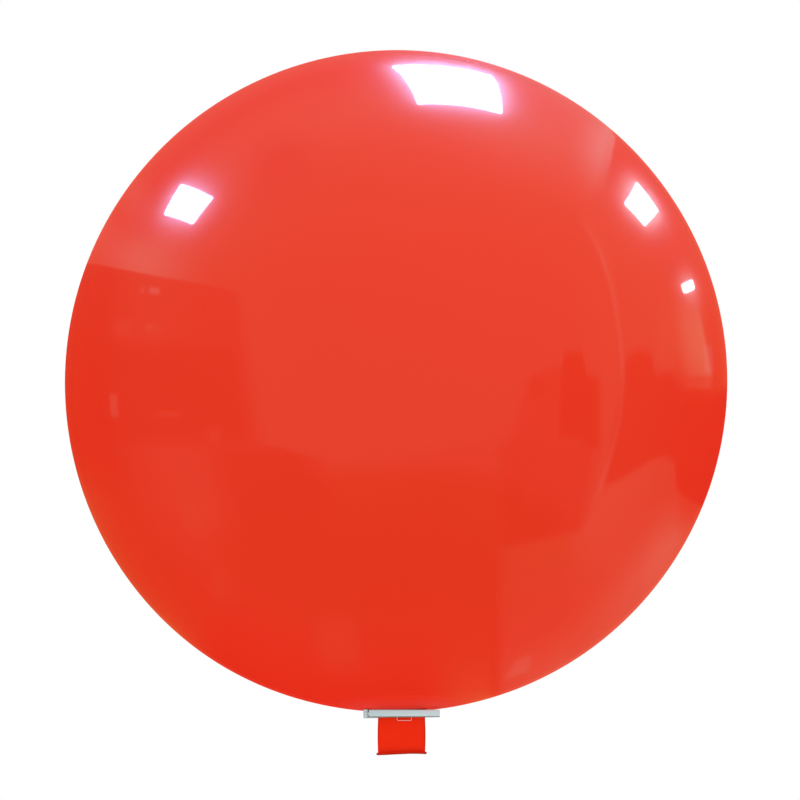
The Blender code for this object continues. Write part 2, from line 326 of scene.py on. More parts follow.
def lip_rings():
    """The inner faces of the closed mouth, up to where the two layers meet."""
    rings = []
    for share in (0.25, 0.6, 1.0):
        ring = []
        for around in around_steps():
            flat, out = flat_ring(BEAD_HALF_RUN, 0.30 * MM * (1.3 - share), around)
            x = NECK_X + flat.x * (1 - 0.02 * share)
            y = flat.y + sleeve_drape(x, BEAD_MIDDLE, 1.0)
            rise = bead_low.z + rim_wave(x) + LIP_RISE * share + 0.5 * MM
            ring.append(Vector((x, y, rise)))
        rings.append(ring)
    return rings


def latex_thickness_and_shade(point):
    """0 where the latex is stretched thin, 1 in the slack neck, and up to 3 with painted shade under its rolled rim.
    """
    from_neck = math.hypot(point.x - NECK_X, point.y)
    if point.z < CLIP_TOP:
        # Below the clip the value adds painted shade: darker towards the rim and most under the rolled rim; it is
        # also darker along the side folds and at the rim's ends.
        above_rim = point.z - BEAD_MIDDLE - rim_wave(point.x)
        to_rim = smooth(1 - above_rim / (RIM_SHADE_TOP - BEAD_MIDDLE))
        to_fold = (SLEEVE_HALF_WIDTH - abs(point.x - NECK_X)) / FOLD_REACH
        under_rim = smooth((0.5 * BEAD_RADIUS - above_rim) / (1.5 * BEAD_RADIUS))
        rim_end = 1.0 * smooth(-2 * to_fold)
        return 1 + max(0.6 * to_rim, 0.6 * math.exp(-max(to_fold, 0) ** 2)) + 1.4 * under_rim + rim_end
    if point.z < 0:
        return math.exp(-((max(from_neck - 40 * MM, 0.0) / NECK_FADE) ** 2))
    return 0.55 * math.exp(-((math.hypot(point.x, point.y) / CROWN_FADE) ** 2))


def make_skin(ball_latex, neck_latex):
    """One closed skin: ball, throat, flat sleeve and rolled rim."""
    rings = ball_rings() + gathered_rings() + throat_rings()
    rings += sleeve_rings() + bead_rings() + lip_rings()
    bm = bmesh.new()
    crown = bm.verts.new(ball_point(0, 0))
    rows = [[bm.verts.new(point) for point in ring] for ring in rings]
    for i in range(AROUND):
        j = (i + 1) % AROUND
        bm.faces.new((crown, rows[0][i], rows[0][j]))
        for upper, lower in zip(rows, rows[1:]):
            bm.faces.new((upper[i], lower[i], lower[j], upper[j]))
    last = rows[-1]
    for i in range(AROUND // 2 - 1):
        bm.faces.new((last[i + 1], last[i], last[AROUND - 1 - i], last[AROUND - 2 - i]))
    bmesh.ops.recalc_face_normals(bm, faces=bm.faces)
    mesh = bpy.data.meshes.new("latex_skin")
    bm.to_mesh(mesh)
    bm.free()
    mesh.shade_smooth()
    tone = mesh.attributes.new("latex_thickness_and_shade", "FLOAT", "POINT")
    tone.data.foreach_set("value", [latex_thickness_and_shade(v.co) for v in mesh.vertices])
    mesh.materials.append(ball_latex)
    mesh.materials.append(neck_latex)
    for face in mesh.polygons:
        face.material_index = int(face.center.z < CLIP_TOP)
    skin = bpy.data.objects.new("latex_skin", mesh)
    bpy.context.scene.collection.objects.link(skin)
    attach(skin, "balloon")
    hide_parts("envelope", "neck", "mouth_bead")
    return skin


# Materials

def new_material(name):
    material = bpy.data.materials.new(name)
    material.use_nodes = True
    tree = material.node_tree
    return material, tree, tree.nodes["Principled BSDF"]


def add_node(tree, kind, settings=None, inputs=None):
    node = tree.nodes.new(kind)
    for name, value in (settings or {}).items():
        setattr(node, name, value)
    for name, value in (inputs or {}).items():
        node.inputs[name].default_value = value
    return node


def latex_material(name, thin_tones, thick_and_shaded_tone, thickness_and_shade_range, roughness_range):
    """Latex: its colour deepens and its shine dulls as it gets thicker, and near the neck's rim its colour also
    carries painted shade.
    """
    material, tree, shader = new_material(name)
    link = tree.links.new
    place = add_node(tree, "ShaderNodeTexCoord")
    shade_and_thickness_value = add_node(tree, "ShaderNodeAttribute", {"attribute_name": "latex_thickness_and_shade"})
    shade_and_thickness_share = add_node(tree, "ShaderNodeMapRange")
    shade_and_thickness_share.inputs["From Min"].default_value = thickness_and_shade_range[0]
    shade_and_thickness_share.inputs["From Max"].default_value = thickness_and_shade_range[1]
    link(shade_and_thickness_value.outputs["Fac"], shade_and_thickness_share.inputs["Value"])
    cloud = add_node(tree, "ShaderNodeTexNoise", inputs={"Scale": 2.2, "Detail": 3.0})
    link(place.outputs["Object"], cloud.inputs["Vector"])
    thin = add_node(tree, "ShaderNodeMix", {"data_type": "RGBA"})
    thin.inputs[6].default_value = (*thin_tones[0], 1)
    thin.inputs[7].default_value = (*thin_tones[1], 1)
    link(cloud.outputs["Fac"], thin.inputs["Factor"])
    tone = add_node(tree, "ShaderNodeMix", {"data_type": "RGBA"})
    tone.inputs[7].default_value = (*thick_and_shaded_tone, 1)
    link(shade_and_thickness_share.outputs["Result"], tone.inputs["Factor"])
    link(thin.outputs[2], tone.inputs[6])
    link(tone.outputs[2], shader.inputs["Base Color"])
    dull = add_node(tree, "ShaderNodeMapRange")
    dull.inputs["To Min"].default_value = roughness_range[0]
    dull.inputs["To Max"].default_value = roughness_range[1]
    link(shade_and_thickness_share.outputs["Result"], dull.inputs["Value"])
    link(dull.outputs["Result"], shader.inputs["Roughness"])
    fine = add_node(tree, "ShaderNodeTexNoise", inputs={"Scale": 90.0, "Detail": 2.0})
    link(place.outputs["Object"], fine.inputs["Vector"])
    bump = add_node(tree, "ShaderNodeBump", inputs={"Strength": 0.02, "Distance": 0.0004})
    link(fine.outputs["Fac"], bump.inputs["Height"])
    link(bump.outputs["Normal"], shader.inputs["Normal"])
    shader.inputs["IOR"].default_value = 1.5
    return material, shader


def ball_latex():
    """Stretched latex: a sharp shine with a soft haze over it."""
    tones = ((0.822, 0.0300, 0.0078), (0.832, 0.0330, 0.0095))
    material, shader = latex_material("latex_ball", tones, (0.880, 0.0250, 0.0045), (0, 1), (0.05, 0.6))
    shader.inputs["Coat Weight"].default_value = 0.26
    shader.inputs["Coat Roughness"].default_value = 0.24
    return material


def neck_latex():
    """Slack latex: nearly matt. Its tones are lifted with painted light against the ball's shadow, and its darkest
    tone carries the painted shade towards and under the rolled rim.
    """
    # Tones lifted with painted light to offset the ball's shadow on the neck.
    tones = ((0.950, 0.0300, 0.0042), (0.965, 0.0320, 0.0048))
    material, shader = latex_material("latex_neck", tones, (0.350, 0.0100, 0.0015), (1, 3), (0.5, 0.4))
    shader.inputs["Specular IOR Level"].default_value = 0.06
    return material


def plastic_material(name, hinge_tone, tip_tone, shaded_tone, roughness):
    """Moulded plastic: its tone drifts from the hinge to the tip, and painted shade darkens its undercuts."""
    material, tree, shader = new_material(name)
    link = tree.links.new
    place = add_node(tree, "ShaderNodeTexCoord")
    split = add_node(tree, "ShaderNodeSeparateXYZ")
    link(place.outputs["Object"], split.inputs["Vector"])
    cloud = add_node(tree, "ShaderNodeTexNoise", inputs={"Scale": 60.0, "Detail": 3.0})
    link(place.outputs["Object"], cloud.inputs["Vector"])
    drift = add_node(tree, "ShaderNodeMapRange", inputs={"From Min": jaw_low.x, "From Max": jaw_high.x})
    link(split.outputs["X"], drift.inputs["Value"])
    spread = add_node(tree, "ShaderNodeMath", {"operation": "MULTIPLY_ADD"})
    spread.inputs[1].default_value = 0.5
    spread.inputs[2].default_value = -0.25
    link(cloud.outputs["Fac"], spread.inputs[0])
    share = add_node(tree, "ShaderNodeMath", {"operation": "ADD", "use_clamp": True})
    link(drift.outputs["Result"], share.inputs[0])
    link(spread.outputs["Value"], share.inputs[1])
    tone = add_node(tree, "ShaderNodeMix", {"data_type": "RGBA"})
    tone.inputs[6].default_value = (*hinge_tone, 1)
    tone.inputs[7].default_value = (*tip_tone, 1)
    link(share.outputs["Value"], tone.inputs["Factor"])
    # Painted shade: this attribute darkens the lower bevel, the undersides and the hinge gap's walls.
    shade = add_node(tree, "ShaderNodeAttribute", {"attribute_name": "undercut_painted_shade"})
    shaded = add_node(tree, "ShaderNodeMix", {"data_type": "RGBA"})
    shaded.inputs[7].default_value = (*shaded_tone, 1)
    link(shade.outputs["Fac"], shaded.inputs["Factor"])
    link(tone.outputs[2], shaded.inputs[6])
    link(shaded.outputs[2], shader.inputs["Base Color"])
    grain = add_node(tree, "ShaderNodeTexNoise", inputs={"Scale": 2600.0, "Detail": 2.0})
    link(place.outputs["Object"], grain.inputs["Vector"])
    bump = add_node(tree, "ShaderNodeBump", inputs={"Strength": 0.12, "Distance": 0.00005})
    link(grain.outputs["Fac"], bump.inputs["Height"])
    link(bump.outputs["Normal"], shader.inputs["Normal"])
    shader.inputs["Roughness"].default_value = roughness
    shader.inputs["IOR"].default_value = 1.49
    return material


def steel_material():
    material, tree, shader = new_material("pin_steel")
    link = tree.links.new
    place = add_node(tree, "ShaderNodeTexCoord")
    drawn = add_node(tree, "ShaderNodeTexNoise", inputs={"Scale": 900.0, "Detail": 2.0})
    link(place.outputs["Object"], drawn.inputs["Vector"])
    tone = add_node(tree, "ShaderNodeMix", {"data_type": "RGBA"})
    tone.inputs[6].default_value = (0.42, 0.43, 0.45, 1)
    tone.inputs[7].default_value = (0.60, 0.61, 0.63, 1)
    link(drawn.outputs["Fac"], tone.inputs["Factor"])
    link(tone.outputs[2], shader.inputs["Base Color"])
    shader.inputs["Metallic"].default_value = 1.0
    shader.inputs["Roughness"].default_value = 0.35
    return material


# Stage: floor, light and what the ball mirrors

def ray_through(pixel):
    """The way the camera looks through a pixel of the photograph."""
    x = (pixel[0] - PHOTO_SIZE / 2) / focal_pixels
    y = (PHOTO_SIZE / 2 - pixel[1]) / focal_pixels
    return (camera.matrix_world.to_3x3() @ Vector((x, y, -1))).normalized()


def mirrored_place(pixel, distance):
    """Where a thing stands whose mirror image in the ball is seen at a pixel."""
    ray = ray_through(pixel)
    start = camera.location
    nearest = -start.dot(ray)
    miss = start.length_squared - nearest ** 2
    hit = start + ray * (nearest - math.sqrt(max(BALL_RADIUS ** 2 - miss, 0.0)))
    normal = hit.normalized()
    return hit + (ray - 2 * ray.dot(normal) * normal) * distance


def card_material(name, tint, glow):
    """A card that tints what lies behind it and adds its own glow, fading out at its edges."""
    material = bpy.data.materials.new(name)
    material.use_nodes = True
    tree = material.node_tree
    tree.nodes.remove(tree.nodes["Principled BSDF"])
    link = tree.links.new
    fade = add_node(tree, "ShaderNodeAttribute", {"attribute_name": "card_fade"})
    shine = add_node(tree, "ShaderNodeEmission", inputs={"Color": (*glow, 1)})
    tinted = add_node(tree, "ShaderNodeBsdfTransparent", inputs={"Color": (*tint, 1)})
    both = add_node(tree, "ShaderNodeAddShader")
    link(tinted.outputs["BSDF"], both.inputs[0])
    link(shine.outputs["Emission"], both.inputs[1])
    clear = add_node(tree, "ShaderNodeBsdfTransparent")
    blend = add_node(tree, "ShaderNodeMixShader")
    link(fade.outputs["Fac"], blend.inputs["Fac"])
    link(clear.outputs["BSDF"], blend.inputs[1])
    link(both.outputs["Shader"], blend.inputs[2])
    link(blend.outputs["Shader"], tree.nodes["Material Output"].inputs["Surface"])
    return material


def fade_in(share, soft):
    """How much of a card shows at a share of its width, where its edge is soft."""
    return smooth(share / soft) if soft else 1.0


def make_card(name, grid, fades, tint, glow):
    """A shining sheet that only the balloon's gloss sees."""
    bm = bmesh.new()
    rows = [[bm.verts.new(place) for place in line] for line in grid]
    for upper, lower in zip(rows, rows[1:]):
        for i in range(len(upper) - 1):
            bm.faces.new((upper[i], upper[i + 1], lower[i + 1], lower[i]))
    mesh = bpy.data.meshes.new(name)
    bm.to_mesh(mesh)
    bm.free()
    fade = mesh.attributes.new("card_fade", "FLOAT", "POINT")
    fade.data.foreach_set("value", [value for line in fades for value in line])
    mesh.materials.append(card_material(name, tint, glow))
    card = bpy.data.objects.new(name, mesh)
    bpy.context.scene.collection.objects.link(card)
    card.visible_camera = False
    card.visible_diffuse = False
    card.visible_shadow = False
    return card


def make_window(name, corners, glow):
    """A bright flat window, mirrored between four pixels given clockwise from the top left."""
    places = [mirrored_place(corner, WINDOW_AWAY) for corner in corners]
    steps = [i / CARD_STEPS for i in range(CARD_STEPS + 1)]
    grid = []
    for down in steps:
        left = places[0].lerp(places[3], down)
        right = places[1].lerp(places[2], down)
        grid.append([left.lerp(right, aside) for aside in steps])
    make_card(name, grid, [[1.0] * len(steps)] * len(steps), CLEAR, glow)


def along_line(points, share):
    """A point at a share of the way along a line of pixels."""
    place = share * (len(points) - 1)
    i = min(int(place), len(points) - 2)
    return Vector(points[i]).lerp(Vector(points[i + 1]), place - i)


def make_patch(name, upper, lower, soft, tint, glow, away):
    """A faint part of the room, mirrored between an upper and a lower line of pixels."""
    stretches = len(upper) - 1
    wide = stretches * math.ceil(CARD_STEPS / stretches)
    grid = []
    fades = []
    for row in range(CARD_STEPS + 1):
        down = row / CARD_STEPS
        line = []
        faded = []
        for column in range(wide + 1):
            aside = column / wide
            pixel = along_line(upper, aside).lerp(along_line(lower, aside), down)
            line.append(mirrored_place(pixel, away))
            across = fade_in(aside, soft[3]) * fade_in(1 - aside, soft[1])
            faded.append(across * fade_in(down, soft[0]) * fade_in(1 - down, soft[2]))
        grid.append(line)
        fades.append(faded)
    make_card(name, grid, fades, tint, glow)


CARD_STEPS = 24
WINDOW_AWAY = 3.0
CLEAR = (1.0, 1.0, 1.0)
NO_GLOW = (0.0, 0.0, 0.0)
# The room's shine by height, in front of the balloon and behind it, and the soft light on it
ROOM_NEAR = (
    (0.00, (0.40, 0.05, 0.00)),
    (0.12, (0.50, 0.20, 0.05)),
    (0.15, (0.55, 0.22, 0.06)),
    (0.20, (0.75, 0.45, 0.30)),
    (0.70, (0.80, 0.50, 0.34)),
    (1.00, (0.85, 0.62, 0.52)),
)
ROOM_FAR = (
    (0.10, (0.78, 0.00, 0.00)),
    (0.42, (0.80, 0.02, 0.01)),
    (0.60, (0.85, 0.09, 0.04)),
    (1.00, (0.95, 0.21, 0.21)),
)
ROOM_TURN = (-0.1, 0.6)
SOFT_LIGHT = ((0.0, (1.0, 1.0, 1.0)), (0.5, (0.94, 0.94, 0.94)), (1.0, (0.97, 0.97, 0.97)))

COOL_GLOW = (18, 33, 60)
MILD_GLOW = (18, 31, 38)
FAR_GLOW = (13, 22, 26)
WINDOWS = (
    ("top_window", ((391.6, 66.8), (490.6, 76.5), (501.3, 114.3), (417.3, 104.6)), COOL_GLOW),
    ("left_window", ((180.6, 184.2), (213.0, 197.7), (192.6, 224.5), (164.0, 214.3)), COOL_GLOW),
    ("right_window", ((636.0, 182.7), (657.1, 210.5), (643.6, 226.0), (623.7, 204.1)), MILD_GLOW),
    ("far_window", ((680.6, 285.2), (691.3, 279.8), (693.9, 288.8), (683.7, 293.9)), FAR_GLOW),
)


# Faint parts of the room: name, upper line, lower line, softness of the top, right, bottom and
# left edge, tint and glow
PATCHES = (
    (
        "curtain_edge",
        ((577, 218), (596, 250), (609, 290), (617, 340), (620, 380), (617, 415), (609, 450), (597, 487), (585, 513)),
        ((582, 217), (602, 249), (615, 289), (623, 340), (626, 380), (623, 416), (615, 452), (603, 490), (590, 515)),
        (0.35, 0.15, 0.35, 0.08), CLEAR, (0.0, 0.30, 0.26),
    ),
    (
        "ceiling_left",
        ((100, 205), (155, 225), (215, 240)),
        ((86, 262), (150, 275), (215, 287)),
        (0.8, 0.6, 0.0, 0.5), CLEAR, (0.0, 0.55, 0.50),
    ),
    (
        "ceiling_edge",
        ((126, 172), (166, 168)),
        ((108, 240), (162, 245)),
        (0.5, 0.5, 0.4, 0.5), CLEAR, (0.0, 0.11, 0.12),
    ),
    (
        "ceiling_dim",
        ((215, 125), (335, 90)),
        ((225, 225), (335, 205)),
        (0.5, 0.5, 0.5, 0.5), (0.97, 0.66, 0.8), NO_GLOW,
    ),
    (
        "curtain_glow",
        ((572, 214), (590, 242), (604, 290), (612, 330)),
        ((586, 208), (608, 236), (622, 288), (630, 330)),
        (0.5, 0.5, 0.5, 0.25), CLEAR, (0.0, 0.13, 0.10),
    ),
    (
        "wall_left",
        ((10, 250), (150, 274), (242, 292)),
        ((10, 440), (150, 445), (268, 440)),
        (0.0, 0.06, 0.0, 0.0), (0.9, 0.5, 0.45), NO_GLOW,
    ),
    (
        "wall_low",
        ((76, 330), (150, 337), (240, 337)),
        ((84, 450), (150, 450), (262, 452)),
        (0.15, 0.08, 0.2, 0.25), (0.95, 0.45, 0.45), NO_GLOW,
    ),
    (
        "floor_dark_middle",
        ((200, 444), (270, 442), (340, 458)),
        ((220, 540), (290, 540), (350, 530)),
        (0.1, 0.25, 0.5, 0.2), (0.95, 0.45, 0.40), NO_GLOW,
    ),
    (
        "floor_front",
        ((370, 448), (440, 442), (505, 428)),
        ((380, 520), (440, 520), (505, 520)),
        (0.3, 0.08, 0.5, 0.6), (0.95, 0.74, 0.72), NO_GLOW,
    ),
    (
        "floor_low",
        ((420, 600), (503, 600)),
        ((420, 725), (499, 725)),
        (0.6, 0.2, 0.0, 0.6), CLEAR, (0.0, 0.09, 0.03),
    ),
    (
        "floor_dark_left",
        ((10, 440), (150, 445), (258, 440), (335, 462)),
        ((90, 700), (200, 690), (300, 640), (350, 600)),
        (0.0, 0.2, 0.45, 0.0), (0.9, 0.58, 0.53), NO_GLOW,
    ),
    (
        "floor_left",
        ((40, 450), (110, 445), (200, 455)),
        ((90, 730), (190, 705), (250, 630)),
        (0.25, 0.5, 0.3, 0.0), CLEAR, (0.0, 0.10, 0.03),
    ),
    (
        "ceiling_right",
        ((400, 30), (480, 40), (560, 70), (617, 120)),
        ((400, 150), (480, 200), (560, 215), (592, 212)),
        (0.6, 0.02, 0.75, 0.5), CLEAR, (0.0, 0.38, 0.42),
    ),
    (
        "corner_right",
        ((562, 96), (563, 130), (566, 160), (570, 190), (574, 215)),
        ((602, 116), (616, 138), (611, 163), (604, 187), (592, 210)),
        (0.8, 0.6, 0.04, 0.5), CLEAR, (0.0, 0.50, 0.52),
    ),
    (
        "streak_left",
        ((172, 478), (202, 486)),
        ((188, 545), (214, 540)),
        (0.5, 0.5, 0.5, 0.5), CLEAR, (0.0, 0.16, 0.08),
    ),
    (
        "streak_low",
        ((196, 548), (238, 548)),
        ((212, 618), (250, 612)),
        (0.5, 0.5, 0.5, 0.5), CLEAR, (0.0, 0.16, 0.08),
    ),
    (
        "floor_middle",
        ((300, 594), (366, 594)),
        ((322, 685), (372, 685)),
        (0.4, 0.3, 0.4, 0.3), CLEAR, (0.0, 0.11, 0.06),
    ),
    (
        "cabinet",
        ((560, 376), (564, 346), (582, 346), (586, 370), (603, 374)),
        ((557, 444), (564, 446), (580, 447), (590, 452), (603, 454)),
        (0.12, 0.12, 0.12, 0.12), (0.9, 0.18, 0.14), NO_GLOW,
    ),
    (
        "chair_back",
        ((525, 372), (547, 372)),
        ((526, 402), (549, 402)),
        (0.35, 0.35, 0.4, 0.35), (0.95, 0.7, 0.65), NO_GLOW,
    ),
    (
        "chair_haze",
        ((524, 376), (540, 364), (562, 356)),
        ((498, 446), (530, 444), (562, 444)),
        (0.2, 0.06, 0.1, 0.35), (0.97, 0.52, 0.48), NO_GLOW,
    ),
    (
        "furniture",
        ((492, 440), (520, 432), (545, 434), (606, 440)),
        ((497, 549), (525, 545), (550, 538), (586, 530)),
        (0.12, 0.08, 0.06, 0.16), (0.92, 0.42, 0.38), NO_GLOW,
    ),
    (
        "chair_spot",
        ((520, 474), (544, 474)),
        ((518, 522), (540, 522)),
        (0.4, 0.4, 0.4, 0.4), CLEAR, (0.0, 0.10, 0.06),
    ),
    (
        "wall_right",
        (
            (625, 350), (640, 343), (651, 347), (655, 371), (668, 368),
            (677, 377), (681, 386), (694, 389), (712, 390), (735, 372),
        ),
        (
            (600, 491), (622, 480), (640, 469), (650, 461), (664, 457),
            (674, 461), (675, 488), (688, 501), (706, 512), (730, 512),
        ),
        (0.1, 0.0, 0.04, 0.03), (0.95, 0.22, 0.18), (0.0, 0.012, 0.008),
    ),
    (
        "floor_right",
        (
            (497, 545), (540, 538), (580, 530), (602, 489), (622, 478), (640, 467),
            (650, 459), (664, 455), (675, 461), (676, 488), (690, 501), (706, 512),
        ),
        (
            (492, 723), (523, 714), (552, 703), (579, 687), (602, 667), (623, 643),
            (642, 620), (658, 598), (673, 576), (684, 555), (694, 534), (703, 516),
        ),
        (0.05, 0.3, 0.35, 0.03), CLEAR, (0.0, 0.17, 0.11),
    ),
    (
        "floor_sheen",
        ((520, 520), (560, 520), (600, 505), (640, 490), (665, 484), (688, 505)),
        ((573, 689), (602, 667), (630, 634), (652, 605), (670, 574), (692, 533)),
        (0.6, 0.3, 0.4, 0.7), CLEAR, (0.0, 0.16, 0.12),
    ),
    (
        "blind_right",
        ((664, 290), (684, 289), (697, 290)),
        ((676, 381), (696, 381), (714, 381)),
        (0.45, 0.12, 0.08, 0.45), CLEAR, (0.0, 0.36, 0.24),
    ),
    (
        "blind_left",
        ((650, 300), (676, 298)),
        ((654, 374), (684, 376)),
        (0.4, 0.4, 0.1, 0.3), CLEAR, (0.0, 0.07, 0.03),
    ),
    (
        "blind_foot",
        ((681, 378), (700, 379), (713, 379)),
        ((683, 390), (700, 391), (713, 391)),
        (0.2, 0.2, 0.3, 0.2), CLEAR, (0.0, 0.14, 0.09),
    ),
    (
        "blind_bright",
        ((702, 343), (712, 344)),
        ((703, 375), (714, 375)),
        (0.15, 0.2, 0.1, 0.2), CLEAR, (0.0, 0.10, 0.14),
    ),
    (
        "glow_right",
        ((605, 225), (665, 195), (706, 225)),
        ((650, 374), (690, 376), (722, 376)),
        (0.7, 0.4, 0.15, 0.6), CLEAR, (0.0, 0.13, 0.07),
    ),
    (
        "lamp_left",
        ((147, 285), (161, 286)),
        ((147, 295), (161, 296)),
        (0.35, 0.3, 0.35, 0.3), CLEAR, (0.0, 1.30, 1.50),
    ),
    (
        "lamp_beside",
        ((138, 285), (146, 285)),
        ((138, 295), (146, 295)),
        (0.4, 0.4, 0.4, 0.4), CLEAR, (0.0, 0.60, 0.65),
    ),
    (
        "shelf_left",
        ((140, 316), (170, 317)),
        ((140, 337), (168, 338)),
        (0.5, 0.4, 0.5, 0.4), CLEAR, (0.0, 0.20, 0.16),
    ),
    (
        "shelf_lamp",
        ((143, 323), (155, 323)),
        ((143, 330), (155, 330)),
        (0.4, 0.4, 0.4, 0.4), CLEAR, (0.0, 0.45, 0.42),
    ),
    (
        "shelf_beside",
        ((110, 316), (137, 316)),
        ((110, 338), (137, 338)),
        (0.4, 0.3, 0.4, 0.3), CLEAR, (0.0, 0.20, 0.15),
    ),
    (
        "shelf_line",
        ((154, 408), (184, 409)),
        ((154, 416), (184, 417)),
        (0.4, 0.3, 0.4, 0.3), CLEAR, (0.0, 0.90, 0.70),
    ),
    (
        "desk_left",
        ((204, 422), (226, 422)),
        ((202, 443), (226, 443)),
        (0.4, 0.4, 0.4, 0.4), CLEAR, (0.0, 0.70, 0.50),
    ),
    (
        "door_left",
        ((108, 390), (118, 390)),
        ((110, 418), (120, 418)),
        (0.2, 0.25, 0.2, 0.25), CLEAR, (0.0, 1.30, 1.10),
    ),
    (
        "floor_spot",
        ((514, 658), (533, 651)),
        ((498, 686), (532, 674)),
        (0.3, 0.2, 0.3, 0.3), CLEAR, (0.0, 0.12, 0.10),
    ),
)


def make_room():
    for window in WINDOWS:
        make_window(*window)
    for i, patch in enumerate(PATCHES):
        make_patch(*patch, WINDOW_AWAY + 0.05 * (i + 1))


def ramp_node(tree, stops):
    """A colour ramp through (place, colour) stops."""
    node = add_node(tree, "ShaderNodeValToRGB")
    elements = node.color_ramp.elements
    while len(elements) < len(stops):
        elements.new(0.5)
    for element, (place, colour) in zip(elements, stops):
        element.position = place
        element.color = (*colour, 1)
    return node


def make_world():
    """White behind the balloon, even light on it, and a dim room in its shine."""
    world = bpy.data.worlds.new("studio")
    world.use_nodes = True
    bpy.context.scene.world = world
    tree = world.node_tree
    link = tree.links.new
    ground = tree.nodes["Background"]
    place = add_node(tree, "ShaderNodeTexCoord")
    split = add_node(tree, "ShaderNodeSeparateXYZ")
    link(place.outputs["Generated"], split.inputs["Vector"])
    height = add_node(tree, "ShaderNodeMapRange", inputs={"From Min": -1.0, "From Max": 1.0})
    link(split.outputs["Z"], height.inputs["Value"])
    near = ramp_node(tree, ROOM_NEAR)
    link(height.outputs["Result"], near.inputs["Fac"])
    far = ramp_node(tree, ROOM_FAR)
    link(height.outputs["Result"], far.inputs["Fac"])
    depth = add_node(
        tree,
        "ShaderNodeMapRange",
        {"interpolation_type": "SMOOTHSTEP"},
        {"From Min": ROOM_TURN[0], "From Max": ROOM_TURN[1]},
    )
    link(split.outputs["Y"], depth.inputs["Value"])
    room = add_node(tree, "ShaderNodeMix", {"data_type": "RGBA"})
    link(depth.outputs["Result"], room.inputs["Factor"])
    link(near.outputs["Color"], room.inputs[6])
    link(far.outputs["Color"], room.inputs[7])
    rays = add_node(tree, "ShaderNodeLightPath")
    soft = ramp_node(tree, SOFT_LIGHT)
    link(height.outputs["Result"], soft.inputs["Fac"])
    even = add_node(tree, "ShaderNodeMix", {"data_type": "RGBA"})
    link(rays.outputs["Is Glossy Ray"], even.inputs["Factor"])
    link(soft.outputs["Color"], even.inputs[6])
    link(room.outputs[2], even.inputs[7])
    seen = add_node(tree, "ShaderNodeMix", {"data_type": "RGBA"})
    seen.inputs[7].default_value = (1, 1, 1, 1)
    link(rays.outputs["Is Camera Ray"], seen.inputs["Factor"])
    link(even.outputs[2], seen.inputs[6])
    link(seen.outputs[2], ground.inputs["Color"])


def make_key_light():
    """A broad soft light above and in front."""
    data = bpy.data.lights.new("soft_key", "AREA")
    data.shape = "RECTANGLE"
    data.size = 3.0
    data.size_y = 2.2
    data.energy = 14
    light = bpy.data.objects.new("soft_key", data)
    light.location = (1.2, -2.2, 3.2)
    light.rotation_euler = (-light.location).to_track_quat("-Z", "Y").to_euler()
    light.visible_glossy = False
    bpy.context.scene.collection.objects.link(light)


def make_floor():
    """A pale floor that fades into the white behind it."""
    material, tree, shader = new_material("pale_floor")
    link = tree.links.new
    place = add_node(tree, "ShaderNodeTexCoord")
    cloud = add_node(tree, "ShaderNodeTexNoise", inputs={"Scale": 0.8, "Detail": 4.0})
    link(place.outputs["Object"], cloud.inputs["Vector"])
    tone = add_node(tree, "ShaderNodeMix", {"data_type": "RGBA"})
    tone.inputs[6].default_value = (0.80, 0.80, 0.80, 1)
    tone.inputs[7].default_value = (0.84, 0.84, 0.835, 1)
    link(cloud.outputs["Fac"], tone.inputs["Factor"])
    link(tone.outputs[2], shader.inputs["Base Color"])
    shader.inputs["Roughness"].default_value = 0.7
    away = add_node(tree, "ShaderNodeVectorMath", {"operation": "LENGTH"})
    link(place.outputs["Object"], away.inputs[0])
    fade = add_node(
        tree,
        "ShaderNodeMapRange",
        {"interpolation_type": "SMOOTHSTEP"},
        {"From Min": FLOOR_FADE[0], "From Max": FLOOR_FADE[1]},
    )
    link(away.outputs["Value"], fade.inputs["Value"])
    white = add_node(tree, "ShaderNodeEmission")
    blend = add_node(tree, "ShaderNodeMixShader")
    link(fade.outputs["Result"], blend.inputs["Fac"])
    link(shader.outputs["BSDF"], blend.inputs[1])
    link(white.outputs["Emission"], blend.inputs[2])
    link(blend.outputs["Shader"], tree.nodes["Material Output"].inputs["Surface"])
    bm = bmesh.new()
    bmesh.ops.create_circle(bm, cap_ends=True, segments=96, radius=FLOOR_RADIUS)
    mesh = bpy.data.meshes.new("floor")
    bm.to_mesh(mesh)
    bm.free()
    mesh.materials.append(material)
    floor = bpy.data.objects.new("floor", mesh)
    floor.location = (0, 0, camera.location.z - FLOOR_BELOW_CAMERA)
    floor.visible_glossy = False
    floor.visible_diffuse = False
    floor.visible_shadow = False
    bpy.context.scene.collection.objects.link(floor)


# Clip

def clip_height(x, y, z):
    """The clip as the photo shows it: a little taller, with an underside that rises towards its tip."""
    along = min(max((x - jaw_low.x) / (jaw_high.x - jaw_low.x), 0.0), 1.0)
    if z > NIP_MIDDLE:
        return NIP_MIDDLE + (z - NIP_MIDDLE) * (1 + CLIP_LIFT / (CLIP_TOP - NIP_MIDDLE))
    drop = UNDERCUT_DROP - TIP_LIFT * along ** 3
    drop *= smooth((NIP_MIDDLE - z) / (NIP_MIDDLE - UNDERCUT_TOP))
    if z < UNDERCUT_TOP:
        deep = HINGE_DROP - TIP_RISE * along ** 3 + (FRONT_DROP * (1 - along) if y < 0 else 0)
        return UNDERCUT_TOP - drop + (z - UNDERCUT_TOP) * deep
    return z - drop


def undercut_shade(face, low_x):
    """Painted shade: 1 on the front jaw's lower bevel and on the undersides, and less beside the hinge's gap."""
    middle = face.center
    if middle.z < UNDERCUT_TOP and face.normal.z < -0.3 and middle.x > low_x:
        return 1.0
    if abs(middle.x - HINGE_GAP_X) < HINGE_GAP_REACH and abs(face.normal.x) > 0.3:
        return 0.5
    return 0.0


